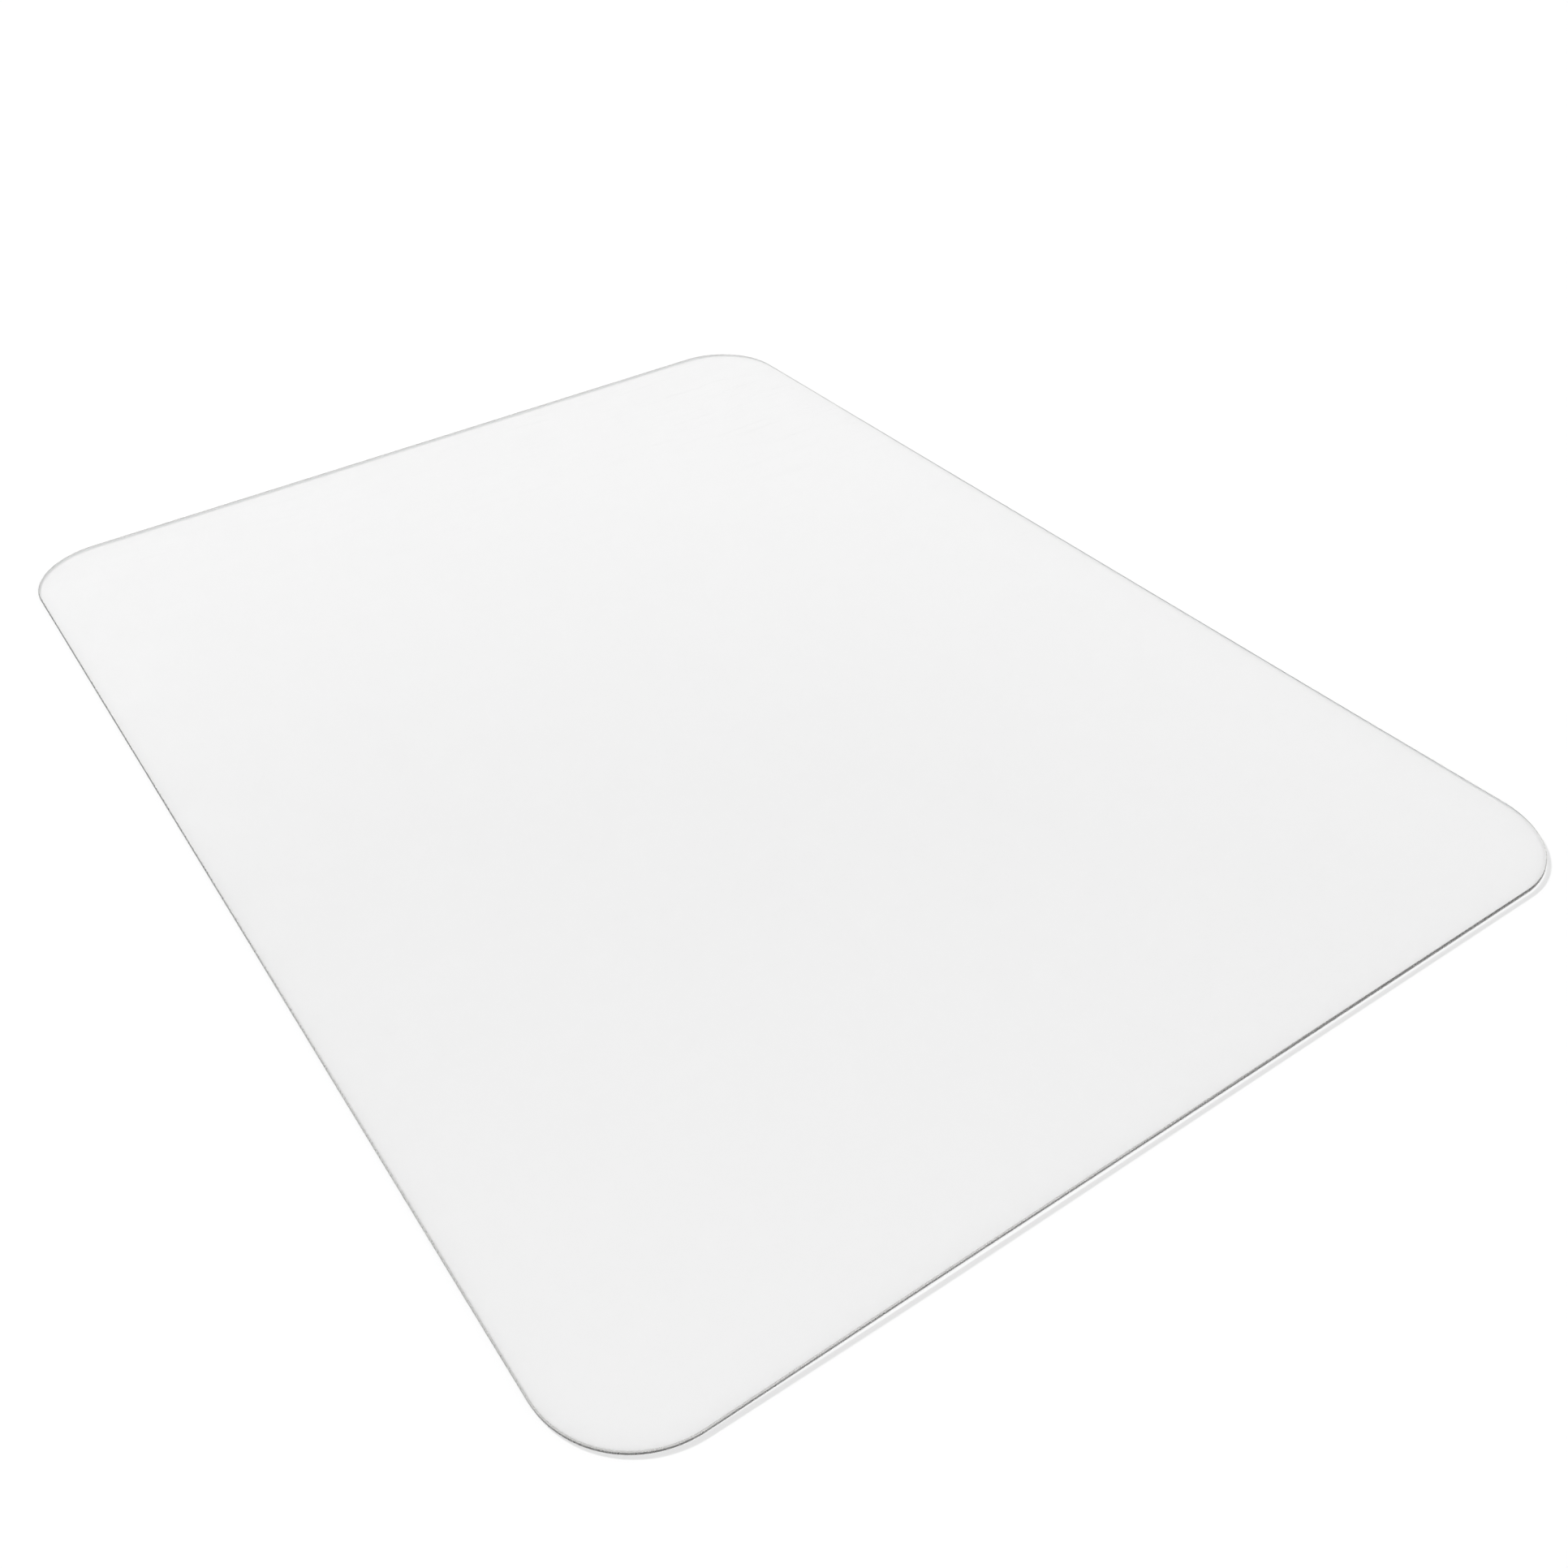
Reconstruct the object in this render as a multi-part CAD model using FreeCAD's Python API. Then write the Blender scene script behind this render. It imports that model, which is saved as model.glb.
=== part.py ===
import FreeCAD, Part
import math
import os

# Clear chair mat for a hard floor: one flat polycarbonate sheet, cut as a rounded
# rectangle, with a bevel round its upper edge. Millimetres, +Z up. The origin is on the
# floor, under the middle of the sheet. X runs along the short sides, Y along the long ones.

# Driving dimensions
width = 900.0          # short side, along X
length = 1200.0        # long side, along Y
thickness = 3.0        # sheet gauge
corner_radius = 75.0   # plan radius of the four corners
top_bevel = 0.8        # 45 degree bevel of the upper edge, which a caster rolls over
foot_edge_radius = 0.2 # broken lower edge, so that it doesn't score the floor

# The bevel and the rounding each take at most this share of the sheet's gauge.
LARGEST_EDGE_SHARE = 0.45


def arc_point(centre, radius, angle):
    """The point at an angle in degrees on a circle round centre, in the floor's plane."""
    turn = math.radians(angle)
    return centre + FreeCAD.Vector(math.cos(turn), math.sin(turn), 0) * radius


def rounded_rectangle(across, along, radius):
    """A closed wire of four straight sides and four quarter circles, centred on Z."""
    centre_x = across / 2 - radius
    centre_y = along / 2 - radius
    corners = [(1, 1, 0), (-1, 1, 90), (-1, -1, 180), (1, -1, 270)]
    arcs = []
    for side_x, side_y, start in corners:
        centre = FreeCAD.Vector(side_x * centre_x, side_y * centre_y, 0)
        points = [arc_point(centre, radius, start + step) for step in (0, 45, 90)]
        arcs.append(Part.Arc(*points).toShape())
    edges = []
    for arc, following in zip(arcs, arcs[1:] + arcs[:1]):
        edges.append(arc)
        edges.append(Part.makeLine(arc.lastVertex().Point, following.firstVertex().Point))
    return Part.Wire(edges)


def rim_edges(solid, height):
    """The solid's edges that lie wholly at this height."""
    near = 1e-6
    return [
        edge
        for edge in solid.Edges
        if all(abs(vertex.Z - height) < near for vertex in edge.Vertexes)
    ]


def mat_sheet():
    """The sheet: a rounded rectangle of constant gauge, bevelled above and softened below."""
    outline = rounded_rectangle(width, length, corner_radius)
    sheet = Part.Face(outline).extrude(FreeCAD.Vector(0, 0, thickness))
    largest = thickness * LARGEST_EDGE_SHARE
    sheet = sheet.makeChamfer(min(top_bevel, largest), rim_edges(sheet, thickness))
    return sheet.makeFillet(min(foot_edge_radius, largest), rim_edges(sheet, 0))


def main():
    os.makedirs("parts", exist_ok=True)
    sheet = mat_sheet()
    sheet.exportStep("parts/mat_sheet.step")
    box = sheet.optimalBoundingBox(False, False)
    print(f"mat_sheet valid={sheet.isValid()} solids={len(sheet.Solids)} volume={sheet.Volume:.1f} mm3")
    print(f"box x {box.XMin:.3f} {box.XMax:.3f} y {box.YMin:.3f} {box.YMax:.3f} z {box.ZMin:.3f} {box.ZMax:.3f}")


main()
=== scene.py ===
import math

import bpy
from mathutils import Euler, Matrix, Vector


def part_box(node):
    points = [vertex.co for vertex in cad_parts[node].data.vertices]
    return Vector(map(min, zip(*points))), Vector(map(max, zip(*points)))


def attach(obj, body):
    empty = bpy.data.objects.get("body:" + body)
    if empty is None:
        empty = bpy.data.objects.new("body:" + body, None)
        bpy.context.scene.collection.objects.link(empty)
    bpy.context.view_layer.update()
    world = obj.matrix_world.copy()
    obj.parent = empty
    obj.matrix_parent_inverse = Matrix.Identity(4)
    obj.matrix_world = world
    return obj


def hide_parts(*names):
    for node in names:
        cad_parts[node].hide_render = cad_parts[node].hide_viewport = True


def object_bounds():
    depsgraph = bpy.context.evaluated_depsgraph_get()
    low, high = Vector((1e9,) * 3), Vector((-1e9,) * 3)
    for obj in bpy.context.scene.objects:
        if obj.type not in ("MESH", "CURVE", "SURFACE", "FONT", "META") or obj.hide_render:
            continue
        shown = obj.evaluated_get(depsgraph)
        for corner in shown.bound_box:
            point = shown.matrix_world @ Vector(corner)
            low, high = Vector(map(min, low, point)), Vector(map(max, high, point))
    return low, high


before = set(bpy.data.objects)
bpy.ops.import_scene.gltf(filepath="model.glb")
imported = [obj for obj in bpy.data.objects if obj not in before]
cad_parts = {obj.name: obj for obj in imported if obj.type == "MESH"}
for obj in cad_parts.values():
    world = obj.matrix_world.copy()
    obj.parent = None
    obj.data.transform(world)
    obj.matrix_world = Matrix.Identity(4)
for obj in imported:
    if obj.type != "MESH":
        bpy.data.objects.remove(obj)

# The looks of a clear chair mat: one polycarbonate sheet with polished faces and a satin cut
# edge, bevelled above, lying on a pale floor. Metres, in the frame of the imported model.

NODE = "mat_sheet"
MM = 0.001

cad_low, cad_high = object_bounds()

# Mesh fineness
GRID_STEP = 30 * MM          # spacing of the faces' grid
CORNER_STEPS = 28            # facets round each quarter circle
FOOT_EDGE_STEPS = 5          # facets under the broken lower edge
BEVEL_STEPS = 4              # facets over each edge of the bevel
BEVEL_SOFTENING = 0.5 * MM   # radius of the bevel's two edges, as a cutter leaves them
SUPPORT_INSET = 3 * MM       # a ring just inside the edge, which keeps the faces' shading flat
CORNER_RINGS = (2 / 3, 1 / 3)  # further rings, as shares of the corner radius

# The front edge of the loose sheet stands slightly off the floor
LIFT = 1.1 * MM              # at its highest
LIFT_REACH = 320 * MM        # how far in from the front edge the sheet has settled again
LIFT_START, LIFT_TOP, LIFT_END = 0.03, 0.28, 0.60  # shares of the front edge, from the left
LIFT_END_SHARE = 0.72        # what is left of it from there to the right corner

LEVEL = 1e-4                 # a face whose normal leans out by less than this is level

# The clear plastic
POLYCARBONATE_IOR = 1.585
FACE_PASSES = (0.985, 0.95)  # the shares of the sky's and of the lamp's light let through
EDGE_PASSES = (0.60, 0.20)   # the same for the cut edge

# The polished faces. Scales are per metre, and roughness adds up
FACE_ROUGHNESS = 0.035
WAVE_SCALE, WAVE_DEPTH = 22.0, 0.03 * MM
SMEAR_SCALE, SMEAR_ROUGHNESS = 5.0, 0.02
SMEAR_STOPS = [(0.45, 0), (0.7, 1)]     # from where the noise counts as a smear
MARK_ROUGHNESS, MARK_DEPTH = 0.10, 0.004 * MM
MARK_STOPS = [(0.70, 0), (0.78, 1)]     # from where the fibre noise counts as a hairline
BEND_SCALE, BEND = 1.6, 0.12            # the slow warp that curves the hairlines, in metres
# The hairlines' layers, which all run along X: a turn in radians, which only picks another
# part of the noise, and the scale along and across the lines
HAIRLINES = [(0.35, 9.0, 900.0), (1.45, 7.0, 700.0), (2.5, 12.0, 1100.0)]

# The cut edge
# The edge's grey is painted shade: it darkens the edge and tints the light through it, standing in for the
# light that runs a long way inside the sheet and is lost there
EDGE_PAINTED_SHADE_GREY = (0.47, 0.465, 0.45, 1)
EDGE_TRANSMISSION = 0.85     # the rest is dulled by the cutter
EDGE_ROUGHNESS = 0.22
RIPPLE_SCALE, RIPPLE_DEPTH = 420.0, 0.04 * MM
RIPPLE_UPRIGHT = 0.1         # its scale from top to bottom, as a share of that along the edge
RIPPLE_ROUGHNESS = 0.12      # more on the crests of the ripple

# The floor
FLOOR_GAP = 0.2 * MM         # between the floor and the sheet's underside
FLOOR_HALF = 40.0
FLOOR_GREY = (0.88, 0.88, 0.88, 1)
FLOOR_ROUGHNESS = 0.9

# The studio. Places are azimuth and elevation in degrees, and angles are in degrees too
WALLS = [(0.0, 0.98), (0.30, 0.90), (0.47, 0.72), (0.56, 0.49), (0.65, 0.14), (0.78, 0.03)]
OVERHEAD_PLACE = (212, 72)
OVERHEAD_FULL, OVERHEAD_EDGE = 18, 34   # from its middle, where it starts to dim and ends
OVERHEAD_GLOW = 2.84
KEY_PLACE = (-6, 36)
KEY_ENERGY = 1.60
KEY_ANGLE = 6                # across, which softens its shadows

# The camera
CAMERA_PLACE = (-0.5842, -0.9914, 0.8415)
CAMERA_TURNS = (50.242, 1.816, -33.981)  # degrees about X, Y and Z
SENSOR_WIDTH, LENS = 36.0, 35.64        # millimetres
SHIFT_X, SHIFT_Y = 0.0284, 0.0015
CLIP_START, CLIP_END = 0.01, 200.0


def smooth_step(share):
    """0 to 1 with level ends."""
    held = min(max(share, 0.0), 1.0)
    return held * held * (3 - 2 * held)


class Sheet:
    """The sizes of the sheet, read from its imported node."""

    def __init__(self, node):
        low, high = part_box(node)
        points = [vertex.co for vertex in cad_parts[node].data.vertices]
        near = 1e-6
        self.half_x = (high.x - low.x) / 2
        self.half_y = (high.y - low.y) / 2
        self.foot, self.top = low.z, high.z
        side = [point for point in points if point.x > high.x - near]
        upper = [point for point in points if point.z > high.z - near]
        lower = [point for point in points if point.z < low.z + near]
        self.corner = self.half_y - max(point.y for point in side)
        self.bevel_reach = high.x - max(point.x for point in upper)
        self.bevel_drop = high.z - max(point.z for point in side)
        self.foot_edge = high.x - max(point.x for point in lower)


def rise(sheet, x, y):
    """How far the sheet stands off the floor at a point."""
    along = (x + sheet.half_x) / (2 * sheet.half_x)
    if along < LIFT_TOP:
        height = smooth_step((along - LIFT_START) / (LIFT_TOP - LIFT_START))
    else:
        fall = smooth_step((along - LIFT_TOP) / (LIFT_END - LIFT_TOP))
        height = 1 - (1 - LIFT_END_SHARE) * fall
    return LIFT * height * (1 - smooth_step((y + sheet.half_y) / LIFT_REACH))


def slope(sheet, x, y):
    """The rise's slope along X and Y."""
    step = 1 * MM
    along_x = rise(sheet, x + step, y) - rise(sheet, x - step, y)
    along_y = rise(sheet, x, y + step) - rise(sheet, x, y - step)
    return along_x / (2 * step), along_y / (2 * step)


def spread(low, high, steps):
    """Evenly spaced values from low to high, both ends included."""
    return [low + (high - low) * index / steps for index in range(steps + 1)]


def outline(sheet, xs, ys):
    """The loop round the sheet: for each place, a grid corner (column, row) of the core
    rectangle between the corner centres, and the direction in which the edge lies."""
    last_x, last_y = len(xs) - 1, len(ys) - 1
    loop = []

    def corner(column, row, start):
        for index in range(CORNER_STEPS + 1):
            turn = math.radians(start + 90 * index / CORNER_STEPS)
            loop.append((column, row, Vector((math.cos(turn), math.sin(turn), 0))))

    corner(last_x, last_y, 0)
    loop.extend((column, last_y, Vector((0, 1, 0))) for column in range(last_x - 1, 0, -1))
    corner(0, last_y, 90)
    loop.extend((0, row, Vector((-1, 0, 0))) for row in range(last_y - 1, 0, -1))
    corner(0, 0, 180)
    loop.extend((column, 0, Vector((0, -1, 0))) for column in range(1, last_x))
    corner(last_x, 0, 270)
    loop.extend((last_x, row, Vector((1, 0, 0))) for row in range(1, last_y))
    return loop


def rounding(reach, height, start, end, radius, steps):
    """An arc round one corner of the section, between two faces whose outward directions
    are start and end degrees above level, as (reach, height, normal outward, normal up)."""
    middle = math.radians(start + end) / 2
    back = radius / math.cos(math.radians(start - end) / 2)
    centre = Vector((reach, height)) - Vector((math.cos(middle), math.sin(middle))) * back
    turns = [math.radians(turn) for turn in spread(start, end, steps)]
    arms = [Vector((math.cos(turn), math.sin(turn))) for turn in turns]
    return [(*(centre + arm * radius), *arm) for arm in arms]


def section(sheet):
    """The sheet's section from its upper face over the bevel and down the edge to its lower
    face, as (reach from the corner centre, height, outward and upward parts of the normal)."""
    flat = [sheet.corner * share for share in reversed(CORNER_RINGS)]
    flat.append(sheet.corner - SUPPORT_INSET)
    bevel = math.degrees(math.atan2(sheet.bevel_reach, sheet.bevel_drop))
    inner, low = sheet.corner - sheet.bevel_reach, sheet.top - sheet.bevel_drop
    rings = [(reach, sheet.top, 0, 1) for reach in flat]
    rings += rounding(inner, sheet.top, 90, bevel, BEVEL_SOFTENING, BEVEL_STEPS)
    rings += rounding(sheet.corner, low, bevel, 0, BEVEL_SOFTENING, BEVEL_STEPS)
    rings += rounding(sheet.corner, sheet.foot, 0, -90, sheet.foot_edge, FOOT_EDGE_STEPS)
    rings += [(reach, sheet.foot, 0, -1) for reach in reversed(flat)]
    return rings


def sheet_mesh(sheet):
    """A closed mesh of the sheet with exact normals: two gridded faces and a rounded edge."""
    core_x, core_y = sheet.half_x - sheet.corner, sheet.half_y - sheet.corner
    xs = spread(-core_x, core_x, round(2 * core_x / GRID_STEP))
    ys = spread(-core_y, core_y, round(2 * core_y / GRID_STEP))
    loop = outline(sheet, xs, ys)
    points, normals, faces, at_rim = [], [], [], []

    def add(x, y, height, normal):
        slope_x, slope_y = slope(sheet, x, y)
        points.append((x, y, height + rise(sheet, x, y)))
        tilted = (normal.x - slope_x * normal.z, normal.y - slope_y * normal.z, normal.z)
        normals.append(Vector(tilted).normalized())
        return len(points) - 1

    def add_face(corners, rim):
        faces.append([corner for index, corner in enumerate(corners) if corner != corners[index - 1]])
        at_rim.append(rim)

    def core(height, facing):
        """One gridded face, and its points' numbers in the order of the loop."""
        grid = {}
        for column, x in enumerate(xs):
            for row, y in enumerate(ys):
                grid[column, row] = add(x, y, height, Vector((0, 0, facing)))
        for column in range(len(xs) - 1):
            for row in range(len(ys) - 1):
                square = [
                    grid[column, row],
                    grid[column + 1, row],
                    grid[column + 1, row + 1],
                    grid[column, row + 1],
                ]
                add_face(square if facing > 0 else square[::-1], False)
        return [grid[column, row] for column, row, _ in loop]

    rings = [core(sheet.top, 1)]
    profile = section(sheet)
    for reach, height, outward, upward in profile:
        ring = []
        for column, row, direction in loop:
            place = Vector((xs[column], ys[row], 0)) + direction * reach
            normal = direction * outward + Vector((0, 0, upward))
            ring.append(add(place.x, place.y, height, normal))
        rings.append(ring)
    rings.append(core(sheet.foot, -1))

    outward = [0] + [part for _, _, part, _ in profile] + [0]
    for index, (inner, outer) in enumerate(zip(rings, rings[1:])):
        rim = max(outward[index], outward[index + 1]) > LEVEL
        for here in range(len(loop)):
            then = (here + 1) % len(loop)
            add_face([inner[here], outer[here], outer[then], inner[then]], rim)

    mesh = bpy.data.meshes.new("chair_mat")
    mesh.from_pydata(points, [], faces)
    mesh.polygons.foreach_set("material_index", [int(rim) for rim in at_rim])
    mesh.shade_smooth()
    mesh.normals_split_custom_set_from_vertices(normals)
    mesh.update()
    return mesh


class Nodes:
    """A short way to make and join shader nodes."""

    def __init__(self, tree):
        self.tree = tree
        tree.nodes.clear()

    def add(self, kind, inputs=None, **settings):
        """A node with its settings, and with its inputs joined to sockets or set to values."""
        node = self.tree.nodes.new("ShaderNode" + kind)
        for name, value in settings.items():
            setattr(node, name, value)
        for name, value in (inputs or {}).items():
            if isinstance(value, bpy.types.NodeSocket):
                self.tree.links.new(value, node.inputs[name])
            else:
                node.inputs[name].default_value = value
        return node

    def maths(self, operation, first, second=0.0):
        """The result of a sum on two sockets or values."""
        return self.add("Math", {0: first, 1: second}, operation=operation).outputs[0]

    def ramp(self, value, stops, interpolation="LINEAR"):
        """A grey ramp of (position, brightness) stops."""
        node = self.add("ValToRGB", {"Fac": value})
        node.color_ramp.interpolation = interpolation
        elements = node.color_ramp.elements
        while len(elements) < len(stops):
            elements.new(1.0)
        for element, (position, grey) in zip(elements, stops):
            element.position = position
            element.color = (grey, grey, grey, 1)
        return node.outputs["Color"]


def finished_glass(nodes, bsdf, passes):
    """The floor's light passes straight through the thin sheet, dimmed by what its faces turn
    back, which is more for the low lamp, and everything else meets real refracting plastic."""
    rays = nodes.add("LightPath")
    surface = bsdf.outputs[0]
    for ray, passed in zip(("Is Diffuse Ray", "Is Shadow Ray"), passes):
        film = nodes.add("BsdfTransparent", {"Color": (passed, passed, passed, 1)})
        surface = nodes.add("MixShader", {0: rays.outputs[ray], 1: surface, 2: film.outputs[0]}).outputs[0]
    nodes.add("OutputMaterial", {"Surface": surface})


def face_material():
    """The polished faces: clear, with the faint waviness of an extruded sheet, a few dull
    smears and hairline marks from casters."""
    material = bpy.data.materials.new("clear_polycarbonate_face")
    material.use_nodes = True
    nodes = Nodes(material.node_tree)
    place = nodes.add("TexCoord").outputs["Object"]

    waves = nodes.add("TexNoise", {"Vector": place, "Scale": WAVE_SCALE, "Detail": 2.0})
    smears = nodes.add(
        "TexNoise", {"Vector": place, "Scale": SMEAR_SCALE, "Detail": 5.0, "Roughness": 0.6}
    )
    hairlines = hairline_marks(nodes, place)

    smeared = nodes.ramp(smears.outputs["Fac"], SMEAR_STOPS)
    dull = nodes.maths("MULTIPLY", smeared, SMEAR_ROUGHNESS)
    marked = nodes.maths("MULTIPLY", hairlines, MARK_ROUGHNESS)
    roughness = nodes.maths("ADD", nodes.maths("ADD", dull, FACE_ROUGHNESS), marked)

    waviness = nodes.add("Bump", {"Height": waves.outputs["Fac"], "Strength": 1.0, "Distance": WAVE_DEPTH})
    scored = nodes.add(
        "Bump",
        {"Height": hairlines, "Strength": 1.0, "Distance": MARK_DEPTH, "Normal": waviness.outputs[0]},
        invert=True,
    )
    bsdf = nodes.add(
        "BsdfPrincipled",
        {
            "Base Color": (1.0, 1.0, 1.0, 1),
            "Roughness": roughness,
            "IOR": POLYCARBONATE_IOR,
            "Transmission Weight": 1.0,
            "Normal": scored.outputs[0],
        },
    )
    finished_glass(nodes, bsdf, FACE_PASSES)
    return material


def hairline_marks(nodes, place):
    """Three layers of hairlines along X, gently curved by a slow warp. Each is stretched before
    it is turned, so its turn changes its pattern and not its direction."""
    bend = nodes.add("TexNoise", {"Vector": place, "Scale": BEND_SCALE, "Detail": 1.0})
    shifted = nodes.add(
        "VectorMath", {0: bend.outputs["Color"], 1: (BEND, BEND, 0.0)}, operation="MULTIPLY"
    )
    warped = nodes.add("VectorMath", {0: place, 1: shifted.outputs[0]}, operation="ADD").outputs[0]
    total = None
    for turn, along, across in HAIRLINES:
        turned = nodes.add(
            "Mapping", {"Vector": warped, "Rotation": (0, 0, turn), "Scale": (along, across, 1.0)}
        )
        fibre = nodes.add("TexNoise", {"Vector": turned.outputs[0], "Scale": 1.0, "Detail": 0.0})
        line = nodes.ramp(fibre.outputs["Fac"], MARK_STOPS)
        total = line if total is None else nodes.maths("MAXIMUM", total, line)
    return total


def edge_material():
    """The cut edge and its bevel: satin, with the cutter's faint upright ripple. Light runs a long way
    inside the sheet before it leaves here, and the edge's grey base colour is painted shade for that lost
    light, which makes the edge darker than the faces."""
    material = bpy.data.materials.new("clear_polycarbonate_edge")
    material.use_nodes = True
    nodes = Nodes(material.node_tree)
    place = nodes.add("TexCoord").outputs["Object"]
    upright = nodes.add("Mapping", {"Vector": place, "Scale": (1.0, 1.0, RIPPLE_UPRIGHT)}).outputs[0]
    ripple = nodes.add("TexNoise", {"Vector": upright, "Scale": RIPPLE_SCALE, "Detail": 2.0})
    bump = nodes.add("Bump", {"Height": ripple.outputs["Fac"], "Strength": 1.0, "Distance": RIPPLE_DEPTH})
    crests = nodes.maths("MULTIPLY", ripple.outputs["Fac"], RIPPLE_ROUGHNESS)
    roughness = nodes.maths("ADD", crests, EDGE_ROUGHNESS)
    bsdf = nodes.add(
        "BsdfPrincipled",
        {
            "Base Color": EDGE_PAINTED_SHADE_GREY,
            "Roughness": roughness,
            "IOR": POLYCARBONATE_IOR,
            "Transmission Weight": EDGE_TRANSMISSION,
            "Normal": bump.outputs[0],
        },
    )
    finished_glass(nodes, bsdf, EDGE_PASSES)
    return material


def build_mat():
    """The sheet, in place of its plain node."""
    mesh = sheet_mesh(Sheet(NODE))
    mesh.materials.append(face_material())
    mesh.materials.append(edge_material())
    mat = bpy.data.objects.new("chair_mat_sheet", mesh)
    bpy.context.scene.collection.objects.link(mat)
    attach(mat, "root")
    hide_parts(NODE)


def build_floor():
    """A plain pale floor, just under the sheet."""
    mesh = bpy.data.meshes.new("floor")
    corners = [(-1, -1), (1, -1), (1, 1), (-1, 1)]
    height = cad_low.z - FLOOR_GAP
    mesh.from_pydata([(x * FLOOR_HALF, y * FLOOR_HALF, height) for x, y in corners], [], [(0, 1, 2, 3)])
    floor = bpy.data.objects.new("floor", mesh)
    bpy.context.scene.collection.objects.link(floor)
    material = bpy.data.materials.new("pale_floor")
    material.use_nodes = True
    nodes = Nodes(material.node_tree)
    bsdf = nodes.add(
        "BsdfPrincipled",
        {"Base Color": FLOOR_GREY, "Roughness": FLOOR_ROUGHNESS, "Specular IOR Level": 0.0},
    )
    nodes.add("OutputMaterial", {"Surface": bsdf.outputs[0]})
    mesh.materials.append(material)


def direction(azimuth, elevation):
    """The unit vector towards a place in the studio: azimuth clockwise from +Y, in degrees."""
    turn, climb = math.radians(azimuth), math.radians(elevation)
    return Vector((math.sin(turn) * math.cos(climb), math.cos(turn) * math.cos(climb), math.sin(climb)))


def build_studio():
    """A pale studio wall round the horizon, a dim ceiling, and a broad light overhead. The
    wall's stops pair the sine of the height above the horizon with a brightness, and a spline
    smooths them."""
    world = bpy.data.worlds.new("studio")
    bpy.context.scene.world = world
    world.use_nodes = True
    nodes = Nodes(world.node_tree)
    towards = nodes.add("TexCoord").outputs["Generated"]
    climb = nodes.add("SeparateXYZ", {0: towards}).outputs["Z"]
    wall = nodes.ramp(climb, WALLS, "B_SPLINE")
    middle = direction(*OVERHEAD_PLACE)
    overhead = nodes.add("VectorMath", {0: towards, 1: middle}, operation="DOT_PRODUCT").outputs["Value"]
    edge, full = (math.cos(math.radians(angle)) for angle in (OVERHEAD_EDGE, OVERHEAD_FULL))
    box = nodes.add(
        "MapRange",
        {"Value": overhead, "From Min": edge, "From Max": full},
        interpolation_type="SMOOTHSTEP",
    ).outputs[0]
    glow = nodes.maths("MULTIPLY", box, OVERHEAD_GLOW)
    total = nodes.maths("ADD", wall, glow)
    background = nodes.add("Background", {"Color": total, "Strength": 1.0})
    nodes.add("OutputWorld", {"Surface": background.outputs[0]})


def build_key():
    """One soft lamp from behind, which gives the edges their direction."""
    lamp = bpy.data.lights.new("key", "SUN")
    lamp.energy = KEY_ENERGY
    lamp.angle = math.radians(KEY_ANGLE)
    key = bpy.data.objects.new("key", lamp)
    key.rotation_euler = direction(*KEY_PLACE).to_track_quat("Z", "Y").to_euler()
    bpy.context.scene.collection.objects.link(key)


def build_camera():
    """The camera, beyond the front left corner and above it, looking across the sheet."""
    lens = bpy.data.cameras.new("camera")
    lens.sensor_width = SENSOR_WIDTH
    lens.lens = LENS
    lens.shift_x = SHIFT_X
    lens.shift_y = SHIFT_Y
    lens.clip_start = CLIP_START
    lens.clip_end = CLIP_END
    camera = bpy.data.objects.new("camera", lens)
    camera.location = CAMERA_PLACE
    camera.rotation_euler = Euler([math.radians(turn) for turn in CAMERA_TURNS])
    bpy.context.scene.collection.objects.link(camera)
    bpy.context.scene.camera = camera


build_camera()
build_mat()
build_floor()
build_studio()
build_key()

scene = bpy.context.scene
scene.view_settings.view_transform = "Standard"
